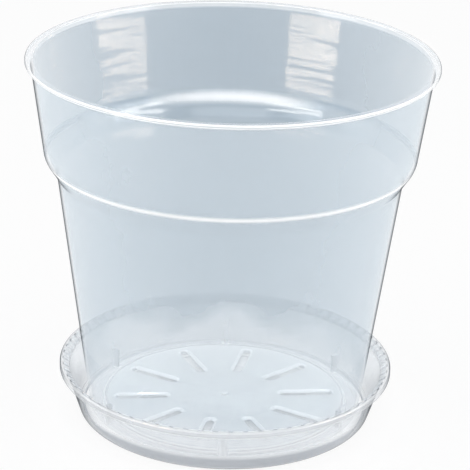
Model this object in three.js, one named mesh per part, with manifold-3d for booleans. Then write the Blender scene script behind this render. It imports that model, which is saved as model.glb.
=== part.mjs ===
// Clear orchid pot standing in its saucer. Millimetres, +Z up, the axis of both is Z,
// and the origin is on the surface that the saucer stands on. The front is -Y.
import * as THREE from 'three';
import { mergeVertices } from 'three/addons/utils/BufferGeometryUtils.js';
import Module from 'manifold-3d';

// Pot, outside sizes
const rimDiameter = 150;
const potHeight = 136.8;
const wall = 1.1;
const wallDraft = 7.6;            // degrees, below the shoulder
const collarDraft = 7.8;          // degrees, above the shoulder
const collarHeight = 36.2;        // lip top down to the collar's lower edge
const shoulderHeight = 7;
const shoulderStep = 4.6;         // how far the wall steps in at the shoulder
const shoulderRound = 5;
const shoulderHollow = 3;

// Lip: a flat flange all round the mouth
const lipOverhang = 1.85;
const lipThickness = 1.4;
const lipEdgeRound = 0.5;
const lipRootRound = 1.8;

// Foot ring and the floor raised inside it
const footRingWidth = 6.1;
const footRound = 2;
const floorClearance = 0.35;      // between the gate pip under it and the saucer's raised middle
const floorThickness = 1.2;
const floorStepRound = 0.5;
const leastInsideRound = 0.45;

// Drain slots in the floor
const slotCount = 10;
const slotWidth = 3;
const slotHubRadius = 21.6;       // inner ends of the slots
const slotEdgeMargin = 3.9;       // from the outer ends to the edge of the raised floor
const slotTurn = 23.8;            // degrees from the front to the first slot
const slotOvercut = 1;            // how far the cutter passes the floor above and below

// Fins inside the foot that a nested pot lands on before the walls can jam
const finCount = 6;
const finThickness = 1.3;
const finDepth = 3;
const finTurn = 0;                // degrees from the front to the first fin
const nestClearance = 0.3;

// Gate pips left by moulding, one under each floor
const gateDiameter = 3;
const gateHeight = 0.35;

// Saucer
const saucerHeight = 19;
const saucerWall = 1.2;
const saucerDraft = 18;           // degrees
const saucerFloor = 1.3;
const saucerFootMargin = 2.2;     // saucer's flat base beyond the pot's foot
const saucerCornerRound = 2.2;
const saucerRecess = 0.5;         // height of the hollow under the middle
const saucerStepClearance = 1.5;  // between its raised middle and the pot's foot ring
const seatClearance = 0.3;        // between the saucer's floor and the pot's foot

// Saucer rim: an outward flange with a smooth outer bead and a notched inner half
const saucerRimOverhang = 2.5;
const saucerRimThickness = 2.6;
const saucerRimFall = 1.3;        // how far the notched half falls towards the inside
const saucerBeadWidth = 1.4;
const saucerRimRound = 0.9;
const saucerRimRootRound = 0.8;
const notchCount = 72;
const notchRadius = 1.4;
const notchDepth = 0.65;

// Facets
const potSegments = 60;
const saucerSegments = notchCount;
const roundSagitta = 0.08;        // how far a facet may cut inside a round
const roundShare = 0.48;          // most of a side that one round may take up
const notchSides = 6;
const slotEndFacets = 6;
const pipSides = 16;

const wasm = await Module();
wasm.setup();

const radians = THREE.MathUtils.degToRad;
const draftOf = (degrees) => Math.tan(radians(degrees));

// Closed solid from a three.js geometry
function toSolid(geometry) {
  geometry.deleteAttribute('normal');
  geometry.deleteAttribute('uv');
  const merged = mergeVertices(geometry);
  const indices = merged.index.array;
  const triangles = [];
  for (let i = 0; i < indices.length; i += 3) {
    const [a, b, c] = indices.slice(i, i + 3);
    if (a !== b && b !== c && c !== a) triangles.push(a, b, c);
  }
  return new wasm.Manifold(new wasm.Mesh({
    numProp: 3,
    vertProperties: new Float32Array(merged.attributes.position.array),
    triVerts: new Uint32Array(triangles),
  }));
}

// Three.js geometry from a finished solid
function toGeometry(solid) {
  const mesh = solid.getMesh();
  const geometry = new THREE.BufferGeometry();
  geometry.setAttribute('position', new THREE.BufferAttribute(mesh.vertProperties, 3));
  geometry.setIndex(new THREE.BufferAttribute(mesh.triVerts, 1));
  return geometry;
}

// Corner of an outline: radius from the axis, height, and the round on it
const corner = (r, z, round = 0) => ({ at: new THREE.Vector2(r, z), round });

// Signed turn at a corner, in radians; a left turn is positive
function turnAt(before, here, after) {
  const arriving = here.clone().sub(before);
  const leaving = after.clone().sub(here);
  return Math.atan2(arriving.cross(leaving), arriving.dot(leaving));
}

// Outline through the corners, each rounded by an arc that keeps within its two sides
function roundedOutline(corners) {
  return corners.flatMap(({ at, round }, i) => {
    const before = corners[i - 1]?.at;
    const after = corners[i + 1]?.at;
    if (!before || !after || round <= 0) return [at];
    const turn = turnAt(before, at, after);
    const halfTan = Math.tan(Math.abs(turn) / 2);
    const room = roundShare * Math.min(at.distanceTo(before), at.distanceTo(after));
    const reach = Math.min(round * halfTan, room);
    const radius = reach / halfTan;
    const arriving = at.clone().sub(before).normalize();
    const start = at.clone().addScaledVector(arriving, -reach);
    const side = Math.sign(turn);
    const inward = new THREE.Vector2(-arriving.y, arriving.x).multiplyScalar(side);
    const centre = start.clone().addScaledVector(inward, radius);
    const facetTurn = 2 * Math.acos(Math.max(1 - roundSagitta / radius, 0));
    const steps = Math.max(2, Math.ceil(Math.abs(turn) / facetTurn));
    const arcPoint = (_, k) => start.clone().rotateAround(centre, turn * k / steps);
    return Array.from({ length: steps + 1 }, arcPoint);
  });
}

// The same run of corners moved to its left by the wall, as the inside of a shell:
// rounds on the outside of a bend shrink by the wall, down to the least round that a mould
// has there, and rounds inside a bend grow by it
function insideOf(corners, thickness) {
  const moved = (a, b) => {
    const along = b.at.clone().sub(a.at).normalize();
    const left = new THREE.Vector2(-along.y, along.x).multiplyScalar(thickness);
    return { from: a.at.clone().add(left), along };
  };
  return corners.slice(1, -1).map((here, i) => {
    const first = moved(corners[i], here);
    const second = moved(here, corners[i + 2]);
    const gap = second.from.clone().sub(first.from);
    const travel = gap.cross(second.along) / first.along.cross(second.along);
    const at = first.from.clone().addScaledVector(first.along, travel);
    const turn = turnAt(corners[i].at, here.at, corners[i + 2].at);
    return { at, round: Math.max(here.round - Math.sign(turn) * thickness, leastInsideRound) };
  });
}

// Solid of revolution about Z from an outline that starts and ends on the axis
function revolve(outline, segments) {
  return toSolid(new THREE.LatheGeometry(outline, segments).rotateX(Math.PI / 2));
}

// Solids from copies of one geometry, evenly spaced about Z
function around(geometry, count, firstTurn) {
  return Array.from({ length: count }, (_, i) => {
    const turn = radians(firstTurn + i * 360 / count);
    return toSolid(geometry.clone().rotateZ(turn));
  });
}

// Short upright cylinder under a floor, rooted in the middle of the floor's thickness
function gatePip(floorUnderside, thickness) {
  const length = gateHeight + thickness / 2;
  const pip = new THREE.CylinderGeometry(gateDiameter / 2, gateDiameter / 2, length, pipSides);
  return toSolid(pip.rotateX(Math.PI / 2).translate(0, 0, floorUnderside - gateHeight + length / 2));
}

// Levels and radii that the two pieces share
const potFoot = saucerFloor + seatClearance;
const lipTop = potFoot + potHeight;
const lipUnderside = lipTop - lipThickness;
const collarFoot = lipTop - collarHeight;
const shoulderFoot = collarFoot - shoulderHeight;
const collarMouthRadius = rimDiameter / 2 - lipOverhang;
const collarRadiusAt = (z) => collarMouthRadius - (lipTop - z) * draftOf(collarDraft);
const shoulderRadius = collarRadiusAt(collarFoot) - shoulderStep;
const wallRadiusAt = (z) => shoulderRadius - (shoulderFoot - z) * draftOf(wallDraft);
const footRadius = wallRadiusAt(potFoot);
const stepRadius = footRadius - footRingWidth;
const saucerMiddle = saucerFloor + saucerRecess;

function makePot() {
  const floorUnderside = saucerMiddle + seatClearance + gateHeight + floorClearance;
  const outside = [
    corner(0, floorUnderside),
    corner(stepRadius, floorUnderside, floorStepRound),
    corner(stepRadius, potFoot, floorStepRound),
    corner(footRadius, potFoot, footRound),
    corner(shoulderRadius, shoulderFoot, shoulderHollow),
    corner(collarRadiusAt(collarFoot), collarFoot, shoulderRound),
    corner(collarRadiusAt(lipUnderside), lipUnderside, lipRootRound),
  ];
  const lip = [
    corner(rimDiameter / 2, lipUnderside, lipEdgeRound),
    corner(rimDiameter / 2, lipTop, lipEdgeRound),
    corner(collarMouthRadius - wall / Math.cos(radians(collarDraft)), lipTop, lipEdgeRound),
  ];
  const inside = insideOf(outside, wall).reverse();
  const floorEdge = inside.pop();
  const floorTop = floorUnderside + floorThickness;
  const raisedFloor = [corner(floorEdge.at.x, floorTop, floorEdge.round), corner(0, floorTop)];
  let pot = revolve(roundedOutline([...outside, ...lip, ...inside, ...raisedFloor]), potSegments);

  // Fins, trimmed to the middle of the wall so that they are one with it
  const nestPitch = wall / Math.sin(radians(wallDraft)) + nestClearance;
  const finTop = potFoot + nestPitch;
  const finRoot = potFoot + wall / 2;
  const finInnerRadius = wallRadiusAt(finTop) - wall - finDepth;
  const finReach = wallRadiusAt(finTop) - finInnerRadius;
  const fin = new THREE.BoxGeometry(finThickness, finReach, finTop - finRoot)
    .translate(0, -finInnerRadius - finReach / 2, (finTop + finRoot) / 2);
  const wallMiddle = revolve(roundedOutline([
    corner(0, finRoot),
    corner(wallRadiusAt(finRoot) - wall / 2, finRoot, footRound - wall / 2),
    corner(wallRadiusAt(finTop + wall) - wall / 2, finTop + wall),
    corner(0, finTop + wall),
  ]), potSegments);
  for (const copy of around(fin, finCount, finTurn)) pot = pot.add(copy.intersect(wallMiddle));

  // Drain slots with round ends, cut right through the raised floor
  const slotOuterEnd = stepRadius - slotEdgeMargin;
  const slotShape = new THREE.Shape()
    .absarc(0, -slotHubRadius - slotWidth / 2, slotWidth / 2, 0, Math.PI)
    .absarc(0, -slotOuterEnd + slotWidth / 2, slotWidth / 2, Math.PI, 2 * Math.PI);
  const slot = new THREE.ExtrudeGeometry(slotShape, {
    depth: floorThickness + 2 * slotOvercut,
    curveSegments: slotEndFacets,
    bevelEnabled: false,
  }).translate(0, 0, floorUnderside - slotOvercut);
  for (const copy of around(slot, slotCount, slotTurn)) pot = pot.subtract(copy);

  return pot.add(gatePip(floorUnderside, floorThickness));
}

function makeSaucer() {
  const baseRadius = footRadius + saucerFootMargin;
  const recessRadius = stepRadius - saucerStepClearance - saucerFloor / 2;
  const rimUnderside = saucerHeight - saucerRimThickness;
  const cornerReach = saucerCornerRound * Math.tan(radians(90 - saucerDraft) / 2);
  const wallFootRadius = baseRadius + cornerReach;
  const saucerRadiusAt = (z) => wallFootRadius + z * draftOf(saucerDraft);
  const rimRadius = saucerRadiusAt(rimUnderside) + saucerRimOverhang;
  const outside = [
    corner(0, saucerRecess),
    corner(recessRadius, saucerRecess),
    corner(recessRadius, 0),
    corner(wallFootRadius, 0, saucerCornerRound),
    corner(saucerRadiusAt(rimUnderside), rimUnderside, saucerRimRootRound),
    corner(rimRadius, rimUnderside, saucerRimRound / 2),
  ];
  const rimInnerTop = saucerHeight - saucerRimFall;
  const rimInnerRadius = saucerRadiusAt(rimInnerTop) - saucerWall / Math.cos(radians(saucerDraft));
  const crestRadius = rimRadius - saucerBeadWidth;
  const rim = [
    corner(rimRadius, saucerHeight, saucerRimRound),
    corner(crestRadius, saucerHeight),
    corner(rimInnerRadius, rimInnerTop),
  ];
  const floorCornerRadius = saucerRadiusAt(saucerFloor) - saucerWall / Math.cos(radians(saucerDraft));
  const floor = [
    corner(floorCornerRadius, saucerFloor, saucerCornerRound - saucerWall),
    corner(recessRadius + saucerFloor / 2, saucerFloor),
    corner(recessRadius - saucerFloor / 2, saucerMiddle),
    corner(0, saucerMiddle),
  ];
  let saucer = revolve(roundedOutline([...outside, ...rim, ...floor]), saucerSegments);

  // Half-round notches, laid along the falling inner half of the rim, each in the middle of a facet
  const fall = Math.atan2(saucerRimFall, crestRadius - rimInnerRadius);
  const notchLength = 2 * (crestRadius - rimInnerRadius);
  const notchLift = notchRadius - notchDepth;
  const notch = new THREE.CylinderGeometry(notchRadius, notchRadius, notchLength, notchSides)
    .rotateY(Math.PI / notchSides)
    .translate(0, notchLength / 2, notchLift)
    .rotateX(-fall)
    .translate(0, -crestRadius, saucerHeight);
  const halfPitch = 180 / notchCount;
  for (const copy of around(notch, notchCount, halfPitch)) saucer = saucer.subtract(copy);

  return saucer.add(gatePip(saucerRecess, saucerFloor));
}

// Unpigmented polypropylene, the same in both pieces
function clearPlastic(opacity) {
  return new THREE.MeshStandardMaterial({
    color: 0xdbe4ec,
    roughness: 0.22,
    metalness: 0,
    transparent: true,
    opacity,
    flatShading: true,
  });
}

function namedPiece(name, solid, material) {
  const piece = new THREE.Mesh(toGeometry(solid), material);
  piece.name = name;
  return piece;
}

const orchidPot = new THREE.Group();
orchidPot.add(namedPiece('pot', makePot(), clearPlastic(0.5)));
orchidPot.add(namedPiece('saucer', makeSaucer(), clearPlastic(0.6)));

export default orchidPot;
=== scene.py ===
import math

import bmesh
import bpy
from mathutils import Matrix, Vector


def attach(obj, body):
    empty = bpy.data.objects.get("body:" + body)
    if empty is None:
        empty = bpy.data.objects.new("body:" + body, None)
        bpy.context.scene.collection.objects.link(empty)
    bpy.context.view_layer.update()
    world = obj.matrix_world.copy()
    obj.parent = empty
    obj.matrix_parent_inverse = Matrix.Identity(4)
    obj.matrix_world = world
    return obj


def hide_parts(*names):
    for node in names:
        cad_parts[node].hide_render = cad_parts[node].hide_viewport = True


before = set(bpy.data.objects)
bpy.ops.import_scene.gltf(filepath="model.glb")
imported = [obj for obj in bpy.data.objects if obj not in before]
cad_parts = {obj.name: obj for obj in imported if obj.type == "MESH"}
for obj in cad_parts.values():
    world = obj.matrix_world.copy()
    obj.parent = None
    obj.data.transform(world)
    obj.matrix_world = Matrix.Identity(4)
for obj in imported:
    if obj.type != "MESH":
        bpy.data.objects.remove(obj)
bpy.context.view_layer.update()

MM = 0.001
TURN = 2 * math.pi
FRONT = -TURN / 4                # angle of the front, -Y, from +X

# Pot sizes in millimetres
RIM_RADIUS = 75.0
LIP_TOP = 138.4
LIP_THICKNESS = 1.4
LIP_OVERHANG = 1.85
LIP_ROUND = 0.5
LIP_ROOT_ROUND = 1.8
WALL = 1.1
WALL_DRAFT = math.radians(7.6)
COLLAR_DRAFT = math.radians(7.8)
COLLAR_FOOT = 102.2
COLLAR_ROUND = 5.0
SHOULDER_FOOT = 95.2
SHOULDER_STEP = 4.6
SHOULDER_HOLLOW = 3.0            # round where the wall meets the shoulder, outside
SHOULDER_SOFT = 17.0             # round inside the shoulder, which runs in one soft bend
POT_FOOT = 1.6
FOOT_RING = 6.1
FOOT_ROUND = 2.0
FLOOR_UNDER = 2.8
FLOOR_TOP = 4.0
FLOOR_STEP_ROUND = 0.5
FLOOR_LEAD = 1.2                 # flat band inside the floor's edge, where the profile ends
SLOT_COUNT = 10
SLOT_WIDTH = 3.0
SLOT_HUB = 21.6
SLOT_END = 41.1
SLOT_TURN = math.radians(23.8)
SLOT_CHAMFER = (1.0, 0.7)        # width and depth of the slots' slanted upper edges
SLOT_EDGE = 0.2                  # round on the slots' edges
SLOT_FACETS = 24                 # round both ends of a slot
FIN_COUNT = 6
FIN_TOP = 10.22
FIN_INNER = 48.15
FIN_LIFT = 0.4                   # the wall's points this far below a fin's top rise to make it flat
PIP_RADIUS = 1.5
PIP_HEIGHT = 0.35
PIP_FACETS = 32
STUB_STEPS = ((0.4, 0), (0.1, 0.2), (0, 0.7), (-0.3, 0.85))  # beyond the pip's radius, above the floor
POT_COLUMNS = 240

# Saucer sizes in millimetres
SAUCER_TOP = 19.0
SAUCER_WALL = 1.2
SAUCER_DRAFT = math.radians(18)
SAUCER_FLOOR = 1.3
SAUCER_RECESS = 0.5
SAUCER_RECESS_RADIUS = 42.85
SAUCER_RECESS_ROUND = 0.2
SAUCER_STEP_ROUND = 0.4
SAUCER_LEAD = 6.0                # flat band inside the recess's edge, where the profile ends
SAUCER_FOOT_RADIUS = 54.9        # where the wall's line meets the base
SAUCER_CORNER = 2.2
RIM_UNDER = 16.4
RIM_OVERHANG = 2.5
RIM_ROOT_ROUND = 0.8
RIM_UNDER_ROUND = 0.45
RIM_OUTER_ROUND = 0.9
RIM_BEAD = 1.4
RIM_FALL = 1.3
EDGE_DROP = 1.6                  # from the rim's inner edge down to the plain wall
NOTCH_COUNT = 72
NOTCH_RADIUS = 1.4
NOTCH_DEPTH = 0.65
NOTCH_LEAD = 0.22                # from the rim's crest to where a notch starts
NOTCH_COLUMNS = 8
LAND_COLUMNS = 2

# How finely a profile is laid, in millimetres
LONGEST = 5.0                    # longest step up a wall
ROUND_STEP = 0.6                 # a round has at least one step for this much of the side it takes up
FACET = math.radians(9)          # most that one step turns on a round
ROUND_SHARE = 0.48               # most of a side that one round may take up
LEAST_INSIDE_ROUND = 0.45
MERGE = 1e-6                     # metres, points nearer than this are one


def corner(r, z, rounding=0.0):
    return Vector((r, z)), rounding


def inside_of(corners, thickness):
    """The run of corners moved to its left by the wall's thickness."""
    moved = []
    for (a, _), (b, rounding), (c, _) in zip(corners, corners[1:], corners[2:]):
        first, second = (b - a).normalized(), (c - b).normalized()
        start = a + thickness * Vector((-first.y, first.x))
        gap = b + thickness * Vector((-second.y, second.x)) - start
        bend = first.cross(second)
        at = start + first * (gap.cross(second) / bend)
        moved.append((at, max(rounding - math.copysign(thickness, bend), LEAST_INSIDE_ROUND)))
    return moved


def lay_profile(bm, corners, turn):
    """Wire through the corners in the upright plane at that turn, with each corner rounded."""
    verts = [bm.verts.new((at.x * MM, 0, at.y * MM)) for at, _ in corners]
    for pair in zip(verts, verts[1:]):
        bm.edges.new(pair)
    for i in range(1, len(corners) - 1):
        (a, _), (b, rounding), (c, _) = corners[i - 1:i + 2]
        bend = abs((b - a).angle_signed(c - b))
        if rounding <= 0 or bend < 1e-4:
            continue
        reach = min(rounding * math.tan(bend / 2), ROUND_SHARE * min((b - a).length, (c - b).length))
        steps = max(3, math.ceil(bend / FACET), math.ceil(reach / ROUND_STEP))
        bmesh.ops.bevel(bm, geom=[verts[i]], offset=reach * MM, offset_type='OFFSET',
                        affect='VERTICES', segments=steps, profile=0.5, material=-1)
    for edge in list(bm.edges):
        cuts = int(edge.calc_length() / (LONGEST * MM))
        if cuts:
            bmesh.ops.subdivide_edges(bm, edges=[edge], cuts=cuts)
    bmesh.ops.rotate(bm, verts=bm.verts, matrix=Matrix.Rotation(turn, 3, 'Z'))


def open_ring(bm, height):
    """Edges of the open ring at that height."""
    return [e for e in bm.edges if e.is_boundary
            and all(abs(v.co.z - height * MM) < MERGE for v in e.verts)]


def edges_of(verts):
    """Edges at those points, each one once and in the same order every run."""
    return list(dict.fromkeys(e for v in verts for e in v.link_edges))


def pip_loop(bm, height, radius):
    ring = bmesh.ops.create_circle(bm, cap_ends=False, radius=radius * MM, segments=PIP_FACETS,
                                   matrix=Matrix.Translation((0, 0, height * MM)))["verts"]
    return edges_of(ring)


def slot_loop(bm, height, turn, grow):
    """Loop with round ends, along the radius at that turn from the front."""
    half_step = Matrix.Rotation(TURN / SLOT_FACETS / 2, 4, 'Z')
    ring = bmesh.ops.create_circle(bm, cap_ends=False, radius=(SLOT_WIDTH / 2 + grow) * MM,
                                   segments=SLOT_FACETS, matrix=half_step)["verts"]
    outer_half = [v for v in ring if v.co.y < 0]
    bmesh.ops.translate(bm, verts=outer_half, vec=(0, -(SLOT_END - SLOT_HUB - SLOT_WIDTH) * MM, 0))
    place = Matrix.Translation((0, -(SLOT_HUB + SLOT_WIDTH / 2) * MM, height * MM))
    bmesh.ops.transform(bm, verts=ring, matrix=Matrix.Rotation(turn, 4, 'Z') @ place)
    return edges_of(ring)


def bridge_all(bm, loops):
    for loop, following in zip(loops, loops[1:]):
        bmesh.ops.bridge_loops(bm, edges=loop + following)


def fill_flat(bm, *loops):
    bmesh.ops.triangle_fill(bm, use_beauty=True, edges=[e for loop in loops for e in loop],
                            normal=(0, 0, 1))


def gate_pip(bm, height):
    """Loops of a gate pip with a rounded edge, closed below; gives the loop that the floor joins."""
    rounding = PIP_HEIGHT / 3
    levels = [(PIP_RADIUS, height), (PIP_RADIUS, height - PIP_HEIGHT + rounding),
              (PIP_RADIUS - rounding, height - PIP_HEIGHT)]
    loops = [pip_loop(bm, z, r) for r, z in levels]
    bridge_all(bm, loops)
    bmesh.ops.edgeloop_fill(bm, edges=loops[-1])
    return loops[0]


# What the plastic reads at each point

# These set how far rounds are painted paler and more opaque: a painted highlight as well as thicker haze.
EDGE_SCALE = 0.8                 # millimetres, over a round's radius this says how tightly it bends
EDGE_FROM = 0.25                 # the part of that measure that still counts as flat
EDGE_SHARP = math.radians(50)    # an edge that bends more than this counts in full
SHADE_SHARP = math.radians(32)   # and one that bends more than this isn't shaded smooth
RIM_ROUND_WIDTH = 0.4            # millimetres of a rim's outer round that bends light away, painted dark there
RIM_ROUND_HEIGHT = 0.45


def inner_level(across):
    """0 outside and 1 inside, or a little less on a wall that looks nearly straight at the axis."""
    if across > -0.5:
        return 0.0
    return 0.8 if across < -0.95 else 1.0


def mark_points(bm):
    """Keeps on each point how tightly the surface bends there, from 0 for flat to 1 for a round edge,
    where rounds are painted paler, a painted highlight as well as thicker haze; whether it faces the
    axis; and whether it is on a rim's outer round, which bends light away and gets a painted dark
    outline."""
    tight = bm.verts.layers.float.new("milky_highlight_edge")
    inner = bm.verts.layers.float.new("inner_side")
    dim = bm.verts.layers.float.new("painted_dark_edge")
    widest = max(math.hypot(v.co.x, v.co.y) for v in bm.verts)
    highest = max(v.co.z for v in bm.verts)
    bm.normal_update()
    for v in bm.verts:
        outward = Vector((v.co.x, v.co.y, 0))
        across = v.normal.dot(outward.normalized()) if outward.length else 0.0
        v[inner] = inner_level(across)
        far_out = outward.length > widest - RIM_ROUND_WIDTH * MM
        v[dim] = 1.0 if far_out and v.co.z > highest - RIM_ROUND_HEIGHT * MM else 0.0
    for edge in bm.edges:
        bend = edge.calc_face_angle(0.0)
        if bend < 1e-3:
            continue
        middle = (edge.verts[0].co + edge.verts[1].co) / 2
        along = (edge.verts[1].co - edge.verts[0].co).normalized()
        width = 0.0
        for face in edge.link_faces:
            aside = face.calc_center_median() - middle
            width += (aside - along * aside.dot(along)).length
        level = min(1.0, max(0.0, bend / width * MM * EDGE_SCALE - EDGE_FROM))
        if bend > EDGE_SHARP:
            level = 1.0
        for v in edge.verts:
            v[tight] = max(v[tight], level)


def finished_piece(name, bm):
    mesh = bpy.data.meshes.new(name)
    bm.to_mesh(mesh)
    bm.free()
    mesh.shade_smooth()
    mesh.set_sharp_from_angle(angle=SHADE_SHARP)
    piece = bpy.data.objects.new(name, mesh)
    bpy.context.scene.collection.objects.link(piece)
    return piece


# Pot

SLOT_MILK_AND_HIGHLIGHT = 1.0                  # how milky the slots, the gate stub and the fins are: painted pale, a painted highlight as well as haze
STUB_MILK_AND_HIGHLIGHT = 0.6
FIN_MILK_AND_HIGHLIGHT = 0.75
FOOT_CLEAR = 0.2                 # what is left of the milky edge and its painted highlight at the wall's foot and inside the lip
LIP_CLEAR = 0.3
FIN_REACH = TURN / POT_COLUMNS * 0.6     # from a fin's middle, a little more than half a column


def collar_radius(z):
    return RIM_RADIUS - LIP_OVERHANG - (LIP_TOP - z) * math.tan(COLLAR_DRAFT)


def wall_radius(z):
    return collar_radius(COLLAR_FOOT) - SHOULDER_STEP - (SHOULDER_FOOT - z) * math.tan(WALL_DRAFT)


def pot_profile():
    step_radius = wall_radius(POT_FOOT) - FOOT_RING
    lip_under = LIP_TOP - LIP_THICKNESS
    outside = [
        corner(0, FLOOR_UNDER),
        corner(step_radius, FLOOR_UNDER, FLOOR_STEP_ROUND),
        corner(step_radius, POT_FOOT, FLOOR_STEP_ROUND),
        corner(wall_radius(POT_FOOT), POT_FOOT, FOOT_ROUND),
        corner(wall_radius(SHOULDER_FOOT), SHOULDER_FOOT, SHOULDER_HOLLOW),
        corner(collar_radius(COLLAR_FOOT), COLLAR_FOOT, COLLAR_ROUND),
        corner(collar_radius(lip_under), lip_under, LIP_ROOT_ROUND),
    ]
    lip = [
        corner(RIM_RADIUS, lip_under, LIP_ROUND),
        corner(RIM_RADIUS, LIP_TOP, LIP_ROUND),
        corner(RIM_RADIUS - LIP_OVERHANG - WALL / math.cos(COLLAR_DRAFT), LIP_TOP, LIP_ROUND),
    ]
    inside = inside_of(outside, WALL)[::-1]
    floor_edge, trough, heel = inside[-1], inside[-2], inside[-3]
    up_wall = (inside[-4][0] - heel[0]).normalized()
    fin_marks = [(heel[0] + up_wall * ((z - heel[0].y) / up_wall.y), 0.0)
                 for z in (FIN_TOP, FIN_TOP - FIN_LIFT)]
    fin_foot = corner(FIN_INNER, trough[0].y)
    floor_in = corner(floor_edge[0].x, FLOOR_TOP, floor_edge[1])
    outside[0] = corner(step_radius - FLOOR_LEAD, FLOOR_UNDER)
    floor_end = corner(floor_in[0].x - FLOOR_LEAD, FLOOR_TOP)
    shoulder = [(at, SHOULDER_SOFT) for at, _ in inside[:-3]]
    return outside + lip + shoulder + fin_marks + [heel, fin_foot, trough, floor_in, floor_end]


def slot_levels():
    """Growth and height of each loop down a slot: slanted upper edge, straight side, rounded corners."""
    width, depth = SLOT_CHAMFER
    return [
        (width + SLOT_EDGE, FLOOR_TOP),
        (width, FLOOR_TOP - SLOT_EDGE * 0.35),
        (SLOT_EDGE, FLOOR_TOP - depth + SLOT_EDGE * 0.35),
        (0, FLOOR_TOP - depth - SLOT_EDGE),
        (0, FLOOR_UNDER + SLOT_EDGE),
        (SLOT_EDGE * 0.3, FLOOR_UNDER + SLOT_EDGE * 0.3),
        (SLOT_EDGE, FLOOR_UNDER),
    ]


def mark_pot(bm):
    """The drain slots are milky all the way through, and the gate stub and the fins partly: painted pale,
    a painted highlight as well as haze. The wall's foot and the lip's inner edge are clearer."""
    tight = bm.verts.layers.float["milky_highlight_edge"]
    pitch = TURN / FIN_COUNT
    off_face = 0.03
    slot_reach = SLOT_END + 2
    clear_foot_top = FLOOR_TOP + 1.5
    lip_inner, lip_from = RIM_RADIUS - 1.2, LIP_TOP - 0.6
    for v in bm.verts:
        radius, z = math.hypot(v.co.x, v.co.y) / MM, v.co.z / MM
        from_fin = (math.atan2(v.co.y, v.co.x) - FRONT + pitch / 2) % pitch - pitch / 2
        at_fin = radius > FIN_INNER - 0.1 and z < FIN_TOP + 0.1 and abs(from_fin) < FIN_REACH
        inside = z > POT_FOOT + 0.3 and radius < wall_radius(z) - WALL / 2
        if radius < slot_reach and FLOOR_UNDER + off_face < z < FLOOR_TOP - off_face:
            v[tight] = SLOT_MILK_AND_HIGHLIGHT
        elif radius < PIP_RADIUS + 0.2 and z > FLOOR_TOP:
            v[tight] = STUB_MILK_AND_HIGHLIGHT
        elif at_fin and inside:
            v[tight] = FIN_MILK_AND_HIGHLIGHT
        elif radius > FIN_INNER + 0.3 and z < clear_foot_top:
            v[tight] *= FOOT_CLEAR
        elif radius < lip_inner and z > lip_from:
            v[tight] *= LIP_CLEAR


def draw_in_fins(bm):
    """Each fin is one column of the wall's foot, drawn in towards the axis."""
    pitch = TURN / FIN_COUNT
    strip = []
    for face in bm.faces:
        at = face.calc_center_median() / MM
        from_front = (math.atan2(at.y, at.x) - FRONT) % pitch
        if min(from_front, pitch - from_front) > TURN / POT_COLUMNS / 4:
            continue
        radius = math.hypot(at.x, at.y)
        if FLOOR_UNDER - 0.15 < at.z < FIN_TOP and FIN_INNER < radius < wall_radius(at.z) - WALL / 2:
            strip.append(face)
    drawn = bmesh.ops.extrude_face_region(bm, geom=strip)["geom"]
    bmesh.ops.delete(bm, geom=strip, context='FACES')
    for v in drawn:
        if not isinstance(v, bmesh.types.BMVert) or v.co.z > (FIN_TOP - 0.1) * MM:
            continue
        if v.co.z > (FIN_TOP - FIN_LIFT - 0.1) * MM:
            v.co.z = FIN_TOP * MM
        shrink = FIN_INNER * MM / math.hypot(v.co.x, v.co.y)
        v.co.x *= shrink
        v.co.y *= shrink
    bmesh.ops.remove_doubles(bm, verts=bm.verts, dist=MERGE)


def make_pot():
    bm = bmesh.new()
    half_column = TURN / POT_COLUMNS / 2
    lay_profile(bm, pot_profile(), FRONT + half_column)
    bmesh.ops.spin(bm, geom=bm.verts[:] + bm.edges[:], axis=(0, 0, 1), angle=TURN, steps=POT_COLUMNS,
                   use_merge=True)
    under, top = open_ring(bm, FLOOR_UNDER), open_ring(bm, FLOOR_TOP)
    top_loops, under_loops = [], []
    for i in range(SLOT_COUNT):
        turn = SLOT_TURN + i * TURN / SLOT_COUNT
        loops = [slot_loop(bm, z, turn, grow) for grow, z in slot_levels()]
        bridge_all(bm, loops)
        top_loops.append(loops[0])
        under_loops.append(loops[-1])
    stub = [pip_loop(bm, FLOOR_TOP + up, PIP_RADIUS + out) for out, up in STUB_STEPS]
    bridge_all(bm, stub)
    bmesh.ops.edgeloop_fill(bm, edges=stub[-1])
    fill_flat(bm, top, stub[0], *top_loops)
    fill_flat(bm, under, gate_pip(bm, FLOOR_UNDER), *under_loops)
    bmesh.ops.remove_doubles(bm, verts=bm.verts, dist=MERGE)
    bmesh.ops.recalc_face_normals(bm, faces=bm.faces)
    draw_in_fins(bm)
    bmesh.ops.recalc_face_normals(bm, faces=bm.faces)
    mark_points(bm)
    mark_pot(bm)
    return finished_piece("clear_pot", bm)


# Saucer

LAND_FROM = 0.6                  # millimetres from a groove's middle to where its land starts
LAND_SOFT = 0.7                  # and over which the land turns milky, painted pale as a highlight
GROOVE_DARK_PAINT = 0.9                 # how far a groove bends light away: how dark its painted outline gets
BEAD_CLEAR = 0.35                # what is left of the milky edge and its painted highlight on the outer bead


def saucer_radius(z):
    return SAUCER_FOOT_RADIUS + z * math.tan(SAUCER_DRAFT)


def saucer_skin():
    """The wall's thickness, measured level."""
    return SAUCER_WALL / math.cos(SAUCER_DRAFT)


def saucer_rim():
    """Crest and inner edge of the rim's falling half, as radius and height."""
    inner_top = SAUCER_TOP - RIM_FALL
    crest = Vector((saucer_radius(RIM_UNDER) + RIM_OVERHANG - RIM_BEAD, SAUCER_TOP))
    inner = Vector((saucer_radius(inner_top) - saucer_skin(), inner_top))
    return crest, inner


def notch_half_width():
    return math.sqrt(NOTCH_RADIUS ** 2 - (NOTCH_RADIUS - NOTCH_DEPTH) ** 2)


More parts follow.
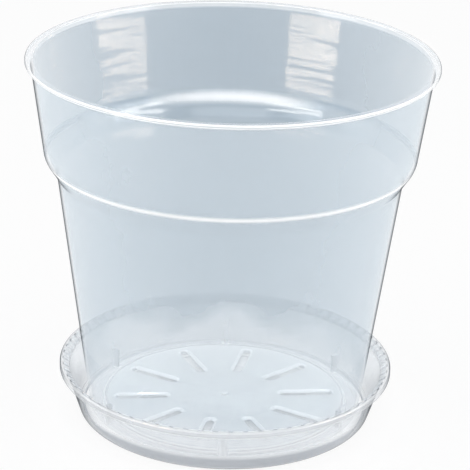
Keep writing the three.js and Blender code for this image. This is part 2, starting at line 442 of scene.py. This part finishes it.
def saucer_profile():
    rim_radius = saucer_radius(RIM_UNDER) + RIM_OVERHANG
    crest, inner = saucer_rim()
    notch_start = crest + (inner - crest).normalized() * NOTCH_LEAD
    below_edge = SAUCER_TOP - RIM_FALL - EDGE_DROP
    inside_corner = SAUCER_CORNER - SAUCER_WALL
    raised = SAUCER_FLOOR + SAUCER_RECESS
    return [
        corner(SAUCER_RECESS_RADIUS - SAUCER_LEAD, SAUCER_RECESS),
        corner(SAUCER_RECESS_RADIUS, SAUCER_RECESS, SAUCER_RECESS_ROUND),
        corner(SAUCER_RECESS_RADIUS, 0, SAUCER_RECESS_ROUND),
        corner(SAUCER_FOOT_RADIUS, 0, SAUCER_CORNER),
        corner(saucer_radius(RIM_UNDER), RIM_UNDER, RIM_ROOT_ROUND),
        corner(rim_radius, RIM_UNDER, RIM_UNDER_ROUND),
        corner(rim_radius, SAUCER_TOP, RIM_OUTER_ROUND),
        corner(crest.x, crest.y),
        corner(notch_start.x, notch_start.y),
        corner(inner.x, inner.y),
        corner(saucer_radius(below_edge) - saucer_skin(), below_edge),
        corner(saucer_radius(SAUCER_FLOOR) - saucer_skin(), SAUCER_FLOOR, inside_corner),
        corner(SAUCER_RECESS_RADIUS + SAUCER_FLOOR / 2, SAUCER_FLOOR, SAUCER_STEP_ROUND),
        corner(SAUCER_RECESS_RADIUS - SAUCER_FLOOR / 2, raised, SAUCER_STEP_ROUND),
        corner(SAUCER_RECESS_RADIUS - SAUCER_LEAD, raised),
    ]


def mark_lands(bm):
    """Along the rim's top the lands are milky, painted pale as a highlight, and the grooves between them
    clear, with a painted dark outline where they turn away.
    """
    tight = bm.verts.layers.float["milky_highlight_edge"]
    dim = bm.verts.layers.float["painted_dark_edge"]
    crest, inner = saucer_rim()
    pitch = TURN / NOTCH_COUNT
    for v in bm.verts:
        radius = math.hypot(v.co.x, v.co.y) / MM
        if radius < inner.x - 0.3 or v.co.z < (inner.y - NOTCH_DEPTH - 0.3) * MM:
            continue
        from_groove = abs((math.atan2(v.co.y, v.co.x) - FRONT) % pitch - pitch / 2) * radius
        land = min(1.0, max(0.0, (from_groove - LAND_FROM) / LAND_SOFT))
        if radius < crest.x + 0.5:
            v[tight] = land
            v[dim] = GROOVE_DARK_PAINT * (1.0 - land)
        else:
            v[tight] *= BEAD_CLEAR


def sink_notch(bm, middle):
    """Lowers the falling half of the rim along a half-round groove at that angle."""
    crest, inner = saucer_rim()
    along = (inner - crest).normalized()
    length = (inner - crest).length
    down = Vector((-along.y, along.x))
    wall_down = Vector((-math.sin(SAUCER_DRAFT), -math.cos(SAUCER_DRAFT)))
    near = 0.02
    for v in bm.verts:
        radius = math.hypot(v.co.x, v.co.y) / MM
        at = Vector((radius, v.co.z / MM)) - crest
        if abs(at.dot(down)) > near or not NOTCH_LEAD / 2 < at.dot(along) < length + near:
            continue
        aside = radius * math.sin(math.atan2(v.co.y, v.co.x) - middle)
        if abs(aside) >= notch_half_width():
            continue
        depth = math.sqrt(NOTCH_RADIUS ** 2 - aside ** 2) - (NOTCH_RADIUS - NOTCH_DEPTH)
        on_edge = at.dot(along) > length - near
        shift = wall_down * (depth / wall_down.dot(down)) if on_edge else down * depth
        outward = Vector((v.co.x, v.co.y, 0)).normalized()
        v.co += (outward * shift.x + Vector((0, 0, shift.y))) * MM


def make_saucer():
    bm = bmesh.new()
    pitch = TURN / NOTCH_COUNT
    _, inner = saucer_rim()
    groove = 2 * math.asin(notch_half_width() / inner.x)
    middle = FRONT + pitch / 2
    lay_profile(bm, saucer_profile(), middle - groove / 2)
    first = bmesh.ops.spin(bm, geom=bm.verts[:] + bm.edges[:], axis=(0, 0, 1), angle=groove,
                           steps=NOTCH_COLUMNS)
    bmesh.ops.spin(bm, geom=first["geom_last"], axis=(0, 0, 1), angle=pitch - groove, steps=LAND_COLUMNS)
    sink_notch(bm, middle)
    bmesh.ops.spin(bm, geom=bm.verts[:] + bm.edges[:] + bm.faces[:], axis=(0, 0, 1),
                   angle=TURN - pitch, steps=NOTCH_COUNT - 1, use_duplicate=True)
    bmesh.ops.remove_doubles(bm, verts=bm.verts, dist=2 * MERGE)
    bmesh.ops.edgeloop_fill(bm, edges=open_ring(bm, SAUCER_FLOOR + SAUCER_RECESS))
    fill_flat(bm, open_ring(bm, SAUCER_RECESS), gate_pip(bm, SAUCER_RECESS))
    bmesh.ops.remove_doubles(bm, verts=bm.verts, dist=MERGE)
    bmesh.ops.recalc_face_normals(bm, faces=bm.faces)
    mark_points(bm)
    mark_lands(bm)
    return finished_piece("clear_saucer", bm)


# Nodes

def add(tree, kind, **values):
    node = tree.nodes.new(kind)
    for name, value in values.items():
        setattr(node, name, value)
    return node


def feed(tree, socket, value):
    """Links the socket, or sets it where the value is a plain number or colour."""
    if isinstance(value, (int, float, tuple)):
        socket.default_value = value
    else:
        tree.links.new(value, socket)


def maths(tree, operation, *inputs):
    node = add(tree, 'ShaderNodeMath', operation=operation)
    for socket, value in zip(node.inputs, inputs):
        feed(tree, socket, value)
    return node.outputs[0]


def product(tree, first, *others):
    for other in others:
        first = maths(tree, 'MULTIPLY', first, other)
    return first


def inverse(tree, share):
    return maths(tree, 'SUBTRACT', 1.0, share)


def blend(tree, first, second, share):
    """The first with that share of the second in it."""
    return maths(tree, 'ADD', product(tree, first, 1.0 - share), product(tree, second, share))


def rise(tree, level, low, high):
    """0 below the low level, 1 above the high one, with a soft step between."""
    node = add(tree, 'ShaderNodeMapRange', interpolation_type='SMOOTHSTEP')
    for name, value in (("Value", level), ("From Min", low), ("From Max", high)):
        feed(tree, node.inputs[name], value)
    return node.outputs[0]


def noise(tree, vector, scale, detail):
    node = add(tree, 'ShaderNodeTexNoise')
    for name, value in (("Vector", vector), ("Scale", scale), ("Detail", detail)):
        feed(tree, node.inputs[name], value)
    return node.outputs[0]


def mixed_colour(tree, share, first, second):
    node = add(tree, 'ShaderNodeMix', data_type='RGBA')
    feed(tree, node.inputs["Factor"], share)
    feed(tree, node.inputs[6], first)
    feed(tree, node.inputs[7], second)
    return node.outputs[2]


def mixed_shader(tree, share, first, second):
    node = add(tree, 'ShaderNodeMixShader')
    for socket, value in zip(node.inputs, (share, first, second)):
        feed(tree, socket, value)
    return node.outputs[0]


def clear_shader(tree, colour):
    node = add(tree, 'ShaderNodeBsdfTransparent')
    node.inputs["Color"].default_value = colour
    return node.outputs[0]


def attribute(tree, name):
    return add(tree, 'ShaderNodeAttribute', attribute_name=name).outputs["Fac"]


def object_place(tree):
    """A point's place on its piece, and the same as three numbers."""
    place = add(tree, 'ShaderNodeTexCoord').outputs["Object"]
    parts = add(tree, 'ShaderNodeSeparateXYZ')
    feed(tree, parts.inputs[0], place)
    return place, *parts.outputs


def from_axis(tree, x, y):
    return maths(tree, 'SQRT', maths(tree, 'ADD', product(tree, x, x), product(tree, y, y)))


# Milky haze that both plastics share, with painted highlights and painted shade; heights and radii in
# metres

# Edge Tint and Lip Tint with their opacities, also used on the shoulder's ring, paint highlights as well
# as haze; on the saucer Foot Tint paints the shade round its base.
HAZE_INPUTS = {
    "Pale Tint": (0.86, 0.9, 0.94, 1),
    "Deep Tint": (0.8, 0.86, 0.92, 1),
    "Low Tint": (0.96, 0.97, 0.98, 1),
    "Foot Tint": (0.96, 0.97, 0.98, 1),
    "Edge Tint": (0.96, 0.97, 0.98, 1),
    "Lip Tint": (0.85, 0.865, 0.875, 1),
    "Roughness Low": 0.06,
    "Roughness High": 0.14,
    "Opacity": 0.45,
    "Foot Opacity": 0.7,
    "Edge Opacity": 0.9,
    "Lip Opacity": 0.6,
    "Foot Low": 0.015,
    "Foot High": 0.06,
    "Foot From": -1.0,
    "Foot To": 1.0,
    "Foot Hidden": 0.0,
    "Wall Low": 0.006,
    "Wall High": 0.022,
    "Ring Low": 1.0,
    "Ring High": 1.01,
    "Ring Hidden": 0.0,
    "Lip Low": 0.134,
    "Lip High": 0.137,
}
STREAKS_IN_HAZE = 0.15           # the rest is cloudiness
STREAKS_IN_WEAR = 0.6            # the rest is fine grain
STREAKS_IN_RIPPLE = 0.05
LEAST_CLOUDY = 0.85              # share of the cover that thin haze keeps
MORE_CLOUDY = 0.3                # and what thick haze adds
WALL_WAVES = 0.03                # how far clouds move the level where the paler, clearer foot ends
RING_ROUGHNESS = 0.3             # added on the shoulder's ring
HUMP = 4.0                       # makes a level times its inverse 1 in the middle


def moulded_haze_group():
    """Milky haze of a thin moulding: cloudiness, flow streaks up the wall, and faint rings of ripple. Its
    round edges, shoulder ring and lip carry painted highlights as well as thicker haze, and the saucer's
    foot a painted shade.
    """
    tree = bpy.data.node_groups.new("moulded haze", 'ShaderNodeTree')
    for name, value in HAZE_INPUTS.items():
        kind = 'NodeSocketColor' if isinstance(value, tuple) else 'NodeSocketFloat'
        tree.interface.new_socket(name, in_out='INPUT', socket_type=kind).default_value = value
    for name in ("Color", "Roughness", "Opacity", "Wall", "Height"):
        kind = 'NodeSocketColor' if name == "Color" else 'NodeSocketFloat'
        tree.interface.new_socket(name, in_out='OUTPUT', socket_type=kind)
    given = add(tree, 'NodeGroupInput').outputs
    result = add(tree, 'NodeGroupOutput').inputs
    place, x, y, z = object_place(tree)
    radius = maths(tree, 'MAXIMUM', from_axis(tree, x, y), MM)

    def round_axis(around, up):
        """Coordinates that run round the axis and up it, at those scales."""
        joined = add(tree, 'ShaderNodeCombineXYZ')
        feed(tree, joined.inputs[0], product(tree, maths(tree, 'DIVIDE', x, radius), around))
        feed(tree, joined.inputs[1], product(tree, maths(tree, 'DIVIDE', y, radius), around))
        feed(tree, joined.inputs[2], product(tree, z, up))
        return joined.outputs[0]

    rings = noise(tree, round_axis(around=1.1, up=150), scale=1.0, detail=2.0)
    streaks = noise(tree, round_axis(around=26, up=14), scale=1.0, detail=3.0)
    cloud = noise(tree, place, scale=45.0, detail=3.0)
    grain = noise(tree, place, scale=900.0, detail=2.0)
    haze = blend(tree, cloud, streaks, STREAKS_IN_HAZE)

    foot_band = product(tree, maths(tree, 'GREATER_THAN', radius, given["Foot From"]),
                        maths(tree, 'LESS_THAN', radius, given["Foot To"]))
    foot = product(tree, inverse(tree, rise(tree, z, given["Foot Low"], given["Foot High"])), foot_band,
                   inverse(tree, given["Foot Hidden"]))
    # The shoulder's ring and the round edges are painted paler and more opaque: a painted highlight as
    # well as thicker haze.
    ring_up = rise(tree, z, given["Ring Low"], given["Ring High"])
    hump = product(tree, ring_up, inverse(tree, ring_up), HUMP)
    ring = product(tree, hump, inverse(tree, given["Ring Hidden"]))
    edge = maths(tree, 'MAXIMUM', attribute(tree, "milky_highlight_edge"), ring)
    lip = rise(tree, z, given["Lip Low"], given["Lip High"])
    wavy = maths(tree, 'ADD', z, product(tree, maths(tree, 'SUBTRACT', cloud, 0.5), WALL_WAVES))
    # Below the wall's level the haze takes Low Tint and stays clear: the wall is paler near its foot,
    # painted light from the bright floor.
    wall = rise(tree, wavy, given["Wall Low"], given["Wall High"])

    tint = mixed_colour(tree, haze, given["Pale Tint"], given["Deep Tint"])
    colour = mixed_colour(tree, wall, given["Low Tint"], tint)
    cover = given["Opacity"]
    # Foot, lip and edges each lay their tint and cover over the haze: the lip and edges as painted
    # highlights, the saucer's foot as painted shade.
    for share, name in ((foot, "Foot"), (lip, "Lip"), (edge, "Edge")):
        colour = mixed_colour(tree, share, colour, given[name + " Tint"])
        more = maths(tree, 'SUBTRACT', given[name + " Opacity"], cover)
        cover = maths(tree, 'ADD', cover, product(tree, more, share))
    cloudy = maths(tree, 'ADD', product(tree, haze, MORE_CLOUDY), LEAST_CLOUDY)
    wear = add(tree, 'ShaderNodeMapRange')
    for name, value in (("Value", blend(tree, grain, streaks, STREAKS_IN_WEAR)),
                        ("From Min", 0.3), ("From Max", 0.7),
                        ("To Min", given["Roughness Low"]), ("To Max", given["Roughness High"])):
        feed(tree, wear.inputs[name], value)
    feed(tree, result["Color"], colour)
    feed(tree, result["Wall"], wall)
    feed(tree, result["Opacity"], product(tree, cloudy, cover))
    roughness = maths(tree, 'ADD', wear.outputs[0], product(tree, ring, RING_ROUGHNESS))
    feed(tree, result["Roughness"], roughness)
    feed(tree, result["Height"], maths(tree, 'ADD', rings, product(tree, streaks, STREAKS_IN_RIPPLE)))
    return tree


# Plastics

SKIN_IOR = 1.95                  # shows a plain surface's gloss through the haze's share of the light
RIPPLE = 0.25                    # millimetres
OUTLINE = 0.8                    # how far the haze is painted dark where a wall turns away: a painted outline
OUTLINE_FULL = 0.97              # how far a wall has turned where its outline is darkest
OUTLINE_SOFT = 0.016             # metres over which the outline comes in above its lower end
DARK_EDGE_PAINT = 0.9                   # how far a rim's outer round shows that painted outline when it turns away
DIM_SOFT = 0.22                  # over how much of the turn it comes in
RING_DOWN = 0.0023               # metres, how far the ring reaches further inside the shoulder
RING_UP = 0.0016
RING_FACING = (0.02, 0.13)       # how far it turns aside before it stops showing inside
FOOT_UP = 0.008                  # metres, how much higher a shaded foot reaches inside
FOOT_FACING = (0.35, 0.8)        # how far the wall turns aside before that shade shows inside
BRIM = (1.2, 0.4)                # millimetres from the lip's outer edge where its side turns milky and pale, a painted highlight
CLEAR_FOOT = 0.6                 # how much clearer a wall is inside near its foot, part of the painted light there
MOST_COVER = 0.97
ASLANT = 0.9                     # how much of the clear plastic's one-way tint, partly painted shade, is lost where it is seen edge on
# colour of the painted dark outline
PAINTED_OUTLINE_SHADE = (0.2, 0.22, 0.24, 1)
THROUGH_TINT = (0.985, 0.992, 1.0, 1)
# dark let through where a wall is seen edge on: painted shade
PAINTED_EDGE_ON_SHADE = (0.3, 0.32, 0.34, 1)


def painted_outline_mask(tree, z, aside, inner, outline_from, outline_above, dim_from):
    """Mask of the painted dark outline, where clear plastic bends light away: outer walls and rims seen
    nearly edge on.
    """
    outer = maths(tree, 'LESS_THAN', inner, 0.5)
    outline = product(tree, rise(tree, aside, outline_from, OUTLINE_FULL), outer,
                      rise(tree, z, outline_above, outline_above + OUTLINE_SOFT))
    edge_on = rise(tree, aside, dim_from, dim_from + DIM_SOFT)
    return maths(tree, 'MAXIMUM', product(tree, attribute(tree, "painted_dark_edge"), edge_on, DARK_EDGE_PAINT), outline)


def widen_ring(tree, haze, aside, inner):
    """The shoulder's ring, painted pale as a highlight, is wider inside, and shows there only where it
    faces the viewer.
    """
    low, high, hidden = (haze.inputs["Ring " + side] for side in ("Low", "High", "Hidden"))
    lower = maths(tree, 'SUBTRACT', low.default_value, product(tree, inner, RING_DOWN))
    higher = maths(tree, 'ADD', high.default_value, product(tree, inner, RING_UP))
    feed(tree, low, lower)
    feed(tree, high, higher)
    facing_axis = maths(tree, 'GREATER_THAN', inner, 0.5)
    feed(tree, hidden, product(tree, facing_axis, rise(tree, aside, *RING_FACING)))


def shade_foot(tree, haze, aside, inner, behind):
    """The foot's shade shows from outside and deep in the gap beside the pot."""
    high = haze.inputs["Foot High"]
    feed(tree, high, maths(tree, 'ADD', high.default_value, product(tree, inner, FOOT_UP)))
    plain = product(tree, inner, inverse(tree, rise(tree, aside, *FOOT_FACING)))
    feed(tree, haze.inputs["Foot Hidden"], maths(tree, 'MAXIMUM', behind, plain))


def lip_milk_and_highlight(tree, haze, x, y, from_inside, inner_lip, outer_lip):
    """The lip is milkier and paler inside and round its outer side than on its flat top: thicker haze and
    a painted highlight.
    """
    cover = haze.inputs["Lip Opacity"]
    start, end = (RIM_RADIUS * MM - back * MM for back in BRIM)
    brim = rise(tree, from_axis(tree, x, y), start, end)
    more = maths(tree, 'ADD', product(tree, from_inside, inner_lip), product(tree, brim, outer_lip))
    feed(tree, cover, maths(tree, 'ADD', cover.default_value, more))


def plastic(name, group, clear, values, outline_from=0.8, outline_above=-1.0, dim_from=0.6,
            inner_lip=0.0, outer_lip=0.0, shaded_foot=False):
    """Thin milky plastic: part of the light goes straight through, part is scattered back by the haze.
    Its outlines are painted dark, and light leaving through an inner face is tinted, partly painted
    shade.
    """
    material = bpy.data.materials.new(name)
    material.use_nodes = True
    tree = material.node_tree
    haze = add(tree, 'ShaderNodeGroup', node_tree=group)
    for socket, value in values.items():
        haze.inputs[socket].default_value = value
    _, x, y, z = object_place(tree)
    aside = add(tree, 'ShaderNodeLayerWeight').outputs["Facing"]
    behind = add(tree, 'ShaderNodeNewGeometry').outputs["Backfacing"]
    inner = attribute(tree, "inner_side")
    from_inside = product(tree, inner, inverse(tree, behind))
    outline_shade = painted_outline_mask(tree, z, aside, inner, outline_from, outline_above, dim_from)
    if "Ring Low" in values:
        widen_ring(tree, haze, aside, inner)
    if shaded_foot:
        shade_foot(tree, haze, aside, inner, behind)
    if inner_lip or outer_lip:
        lip_milk_and_highlight(tree, haze, x, y, from_inside, inner_lip, outer_lip)

    skin = tree.nodes["Principled BSDF"]
    skin.inputs["IOR"].default_value = SKIN_IOR
    darkened = product(tree, outline_shade, OUTLINE)
    shaded = mixed_colour(tree, darkened, haze.outputs["Color"], PAINTED_OUTLINE_SHADE)
    feed(tree, skin.inputs["Base Color"], shaded)
    feed(tree, skin.inputs["Roughness"], haze.outputs["Roughness"])
    bump = add(tree, 'ShaderNodeBump')
    bump.inputs["Strength"].default_value = 1.0
    bump.inputs["Distance"].default_value = RIPPLE * MM
    feed(tree, bump.inputs["Height"], haze.outputs["Height"])
    feed(tree, skin.inputs["Normal"], bump.outputs["Normal"])

    # Light leaving through an inner face takes the clear colour and light going in takes none: a one-way
    # tint, partly the plastic's colour and partly painted shade for the dim surroundings seen through the
    # back wall.
    wall = haze.outputs["Wall"]
    square_on = inverse(tree, product(tree, aside, ASLANT))
    tint_and_painted_shade = product(tree, from_inside, wall, square_on)
    through = mixed_shader(tree, tint_and_painted_shade, clear_shader(tree, THROUGH_TINT), clear_shader(tree, clear))
    through = mixed_shader(tree, outline_shade, through, clear_shader(tree, PAINTED_EDGE_ON_SHADE))
    clearer = inverse(tree, product(tree, from_inside, inverse(tree, wall), CLEAR_FOOT))
    cover = product(tree, haze.outputs["Opacity"], inverse(tree, darkened), clearer)
    surface = mixed_shader(tree, maths(tree, 'MINIMUM', cover, MOST_COVER), through, skin.outputs[0])
    feed(tree, tree.nodes["Material Output"].inputs["Surface"], surface)
    return material


def pot_plastic(group):
    # The clear colour is the one-way tint, partly painted shade.
    return plastic("milky clear pot plastic", group, (0.36, 0.44, 0.51, 1), {
        "Pale Tint": (0.77, 0.83, 0.87, 1), "Deep Tint": (0.7, 0.78, 0.825, 1),
        "Low Tint": (0.94, 0.955, 0.965, 1), "Foot Tint": (0.95, 0.965, 0.97, 1),
        # Edge Tint and Lip Tint are near white: painted highlights on the round edges, the shoulder's
        # ring and the lip.
        "Edge Tint": (0.98, 0.985, 0.99, 1), "Lip Tint": (0.95, 0.96, 0.97, 1),
        "Roughness Low": 0.05, "Roughness High": 0.11,
        "Opacity": 0.25, "Foot Opacity": 0.68, "Lip Opacity": 0.14, "Edge Opacity": 0.94,
        "Foot Low": 0.0043, "Foot High": 0.006, "Foot To": 0.0446,
        "Ring Low": 0.1003, "Ring High": 0.1037, "Lip Low": 0.1362, "Lip High": 0.137,
    }, outline_above=0.014, inner_lip=0.65, outer_lip=0.36)


def saucer_plastic(group):
    return plastic("milky clear saucer plastic", group, (0.93, 0.95, 0.97, 1), {
        "Pale Tint": (0.97, 0.975, 0.98, 1), "Deep Tint": (0.93, 0.94, 0.95, 1),
        # Foot Tint and Foot Opacity paint a dark shade round the saucer's base.
        "Low Tint": (0.96, 0.965, 0.97, 1), "Foot Tint": (0.35, 0.38, 0.42, 1),
        "Edge Tint": (0.86, 0.87, 0.88, 1), "Lip Tint": (0.78, 0.79, 0.8, 1),
        "Roughness Low": 0.06, "Roughness High": 0.13,
        "Opacity": 0.24, "Foot Opacity": 0.85, "Lip Opacity": 0.34, "Edge Opacity": 0.85,
        "Foot Low": 0.0045, "Foot High": 0.0077, "Foot From": 0.053,
        "Lip Low": 0.0155, "Lip High": 0.0165,
    }, outline_from=0.62, dim_from=0.45, shaded_foot=True)


# Stage: pale floor, white surroundings, soft boxes; sizes in metres

ROOM_LEVEL = 0.5                 # share of plain light that comes from all round
FLOOR_RADIUS = 6.0
FLOOR_GLOW = 0.87                # how far the floor shows as plain white, the rest keeps the shadow
INSIDE_LEVEL = 0.33              # share of plain light that the inside lamp adds on the pot's floor
INSIDE_DISTANCE = 1.6
INSIDE_SLANT = math.radians(85)
INSIDE_POOL = 0.072              # radius of its pool of light
WHITE = (1.0, 1.0, 1.0)
SOFT_WHITE = (1.0, 0.985, 0.96)
PALE_WARM = (1.0, 0.97, 0.92)
WARM = (1.0, 0.7, 0.48)


def seen_directly(tree):
    """1 for what the camera sees, straight or by reflection or through clear plastic."""
    path = add(tree, 'ShaderNodeLightPath')
    seen = maths(tree, 'ADD', path.outputs["Is Camera Ray"], path.outputs["Is Glossy Ray"])
    return maths(tree, 'MINIMUM', maths(tree, 'ADD', seen, path.outputs["Is Transmission Ray"]), 1.0)


def lay_floor():
    bm = bmesh.new()
    bmesh.ops.create_circle(bm, cap_ends=True, radius=FLOOR_RADIUS, segments=96)
    mesh = bpy.data.meshes.new("studio_floor")
    bm.to_mesh(mesh)
    bm.free()
    floor = bpy.data.objects.new("studio_floor", mesh)
    bpy.context.scene.collection.objects.link(floor)
    material = bpy.data.materials.new("pale sweep")
    material.use_nodes = True
    tree = material.node_tree
    paint = tree.nodes["Principled BSDF"]
    paint.inputs["Base Color"].default_value = (0.9, 0.9, 0.9, 1)
    paint.inputs["Roughness"].default_value = 0.9
    paint.inputs["Specular IOR Level"].default_value = 0.0
    glow = add(tree, 'ShaderNodeEmission')
    glow.inputs["Strength"].default_value = 1.0
    glowing = product(tree, seen_directly(tree), FLOOR_GLOW)
    surface = mixed_shader(tree, glowing, paint.outputs[0], glow.outputs[0])
    feed(tree, tree.nodes["Material Output"].inputs["Surface"], surface)
    mesh.materials.append(material)


def set_world():
    world = bpy.data.worlds.new("white room")
    bpy.context.scene.world = world
    world.use_nodes = True
    tree = world.node_tree
    room = tree.nodes["Background"]
    room.inputs["Color"].default_value = (0.95, 0.97, 1.0, 1)
    room.inputs["Strength"].default_value = ROOM_LEVEL
    white = add(tree, 'ShaderNodeBackground')
    white.inputs["Color"].default_value = (1, 1, 1, 1)
    white.inputs["Strength"].default_value = 1.0
    surface = mixed_shader(tree, seen_directly(tree), room.outputs[0], white.outputs[0])
    feed(tree, tree.nodes["World Output"].inputs["Surface"], surface)


def soft_box(name, at, aim, width, height, radiance, colour=WHITE, card=False):
    """Lamp of even radiance; a card shows in glossy surfaces only."""
    lamp = bpy.data.lights.new(name, 'AREA')
    lamp.shape = 'RECTANGLE'
    lamp.size = width
    lamp.size_y = height
    lamp.energy = radiance * math.pi * width * height
    lamp.color = colour
    box = bpy.data.objects.new(name, lamp)
    bpy.context.scene.collection.objects.link(box)
    box.location = at
    box.rotation_euler = (Vector(aim) - Vector(at)).to_track_quat('-Z', 'Y').to_euler()
    box.visible_camera = False
    box.visible_diffuse = not card


def inside_lamp():
    """Narrow lamp in front and overhead that lights the pot's floor through its mouth."""
    lamp = bpy.data.lights.new("inside lamp", 'SPOT')
    lamp.spot_size = 2 * math.atan(INSIDE_POOL / INSIDE_DISTANCE)
    lamp.spot_blend = 0.35
    lamp.shadow_soft_size = 0.02
    lamp.energy = 4 * math.pi ** 2 * INSIDE_DISTANCE ** 2 * INSIDE_LEVEL
    spot = bpy.data.objects.new("inside lamp", lamp)
    bpy.context.scene.collection.objects.link(spot)
    spot.location = Vector((0, -math.cos(INSIDE_SLANT), math.sin(INSIDE_SLANT))) * INSIDE_DISTANCE
    spot.rotation_euler = (-spot.location).to_track_quat('-Z', 'Y').to_euler()


def hang_lamps():
    inside_lamp()
    soft_box("top soft box", (0.0, 0.0, 1.6), (0, 0, 0.07), width=1.5, height=1.6, radiance=0.6)
    for side in (-1, 1):
        soft_box("side soft box", (1.58 * side, -0.28, 0.68), (0, 0, 0.08), width=1.9, height=1.3,
                 radiance=1.95, colour=SOFT_WHITE)
    soft_box("front soft box", (0.0, -1.75, 1.0), (0, 0, 0.08), width=1.6, height=1.0, radiance=1.4)
    for name, at, width, height, radiance, colour in (
        ("right card", (1.052, -0.322, 0.058), 0.68, 0.105, 21.0, WARM),
        ("left card", (-0.849, -0.7, 0.075), 0.65, 0.11, 30.0, WARM),
        ("right high card", (1.275, -0.414, 0.97), 1.0, 0.2, 12.0, PALE_WARM),
        ("left high card", (-0.945, -0.821, 1.096), 1.0, 0.2, 12.0, PALE_WARM),
        ("front card", (0.0, -1.4, 0.85), 1.6, 0.5, 2.0, WHITE),
    ):
        soft_box(name, at, (0, 0, 0.1), width, height, radiance, colour, card=True)


# Camera

CAMERA_PLACE = (0.0, -770.18, 379.89)    # millimetres
CAMERA_PITCH = math.radians(-21.946)
CAMERA_ROLL = math.radians(1.606)
CAMERA_YAW = math.radians(0.179)
CAMERA_LENS = 171.08             # millimetres, with a sensor 36 wide


def set_camera():
    """Camera at the photograph's viewing angle, found from its outline."""
    ahead = Vector((math.sin(CAMERA_YAW) * math.cos(CAMERA_PITCH),
                    math.cos(CAMERA_YAW) * math.cos(CAMERA_PITCH), math.sin(CAMERA_PITCH)))
    level = Vector((math.cos(CAMERA_YAW), -math.sin(CAMERA_YAW), 0))
    upright = level.cross(ahead)
    right = level * math.cos(CAMERA_ROLL) + upright * math.sin(CAMERA_ROLL)
    up = upright * math.cos(CAMERA_ROLL) - level * math.sin(CAMERA_ROLL)
    camera = bpy.data.cameras.new("camera")
    camera.sensor_width = 36.0
    camera.lens = CAMERA_LENS
    camera.clip_start = 0.05
    holder = bpy.data.objects.new("camera", camera)
    bpy.context.scene.collection.objects.link(holder)
    turned = Matrix((right, up, -ahead)).transposed()
    holder.matrix_world = Matrix.Translation(Vector(CAMERA_PLACE) * MM) @ turned.to_4x4()
    bpy.context.scene.camera = holder


pot = make_pot()
saucer = make_saucer()
haze_group = moulded_haze_group()
pot.data.materials.append(pot_plastic(haze_group))
saucer.data.materials.append(saucer_plastic(haze_group))
for piece, node, slot in ((pot, "pot", "pot_plastic"), (saucer, "saucer", "saucer_plastic")):
    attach(piece, node)
    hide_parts(node)

lay_floor()
set_world()
hang_lamps()
set_camera()

bpy.context.scene.view_settings.view_transform = 'Standard'
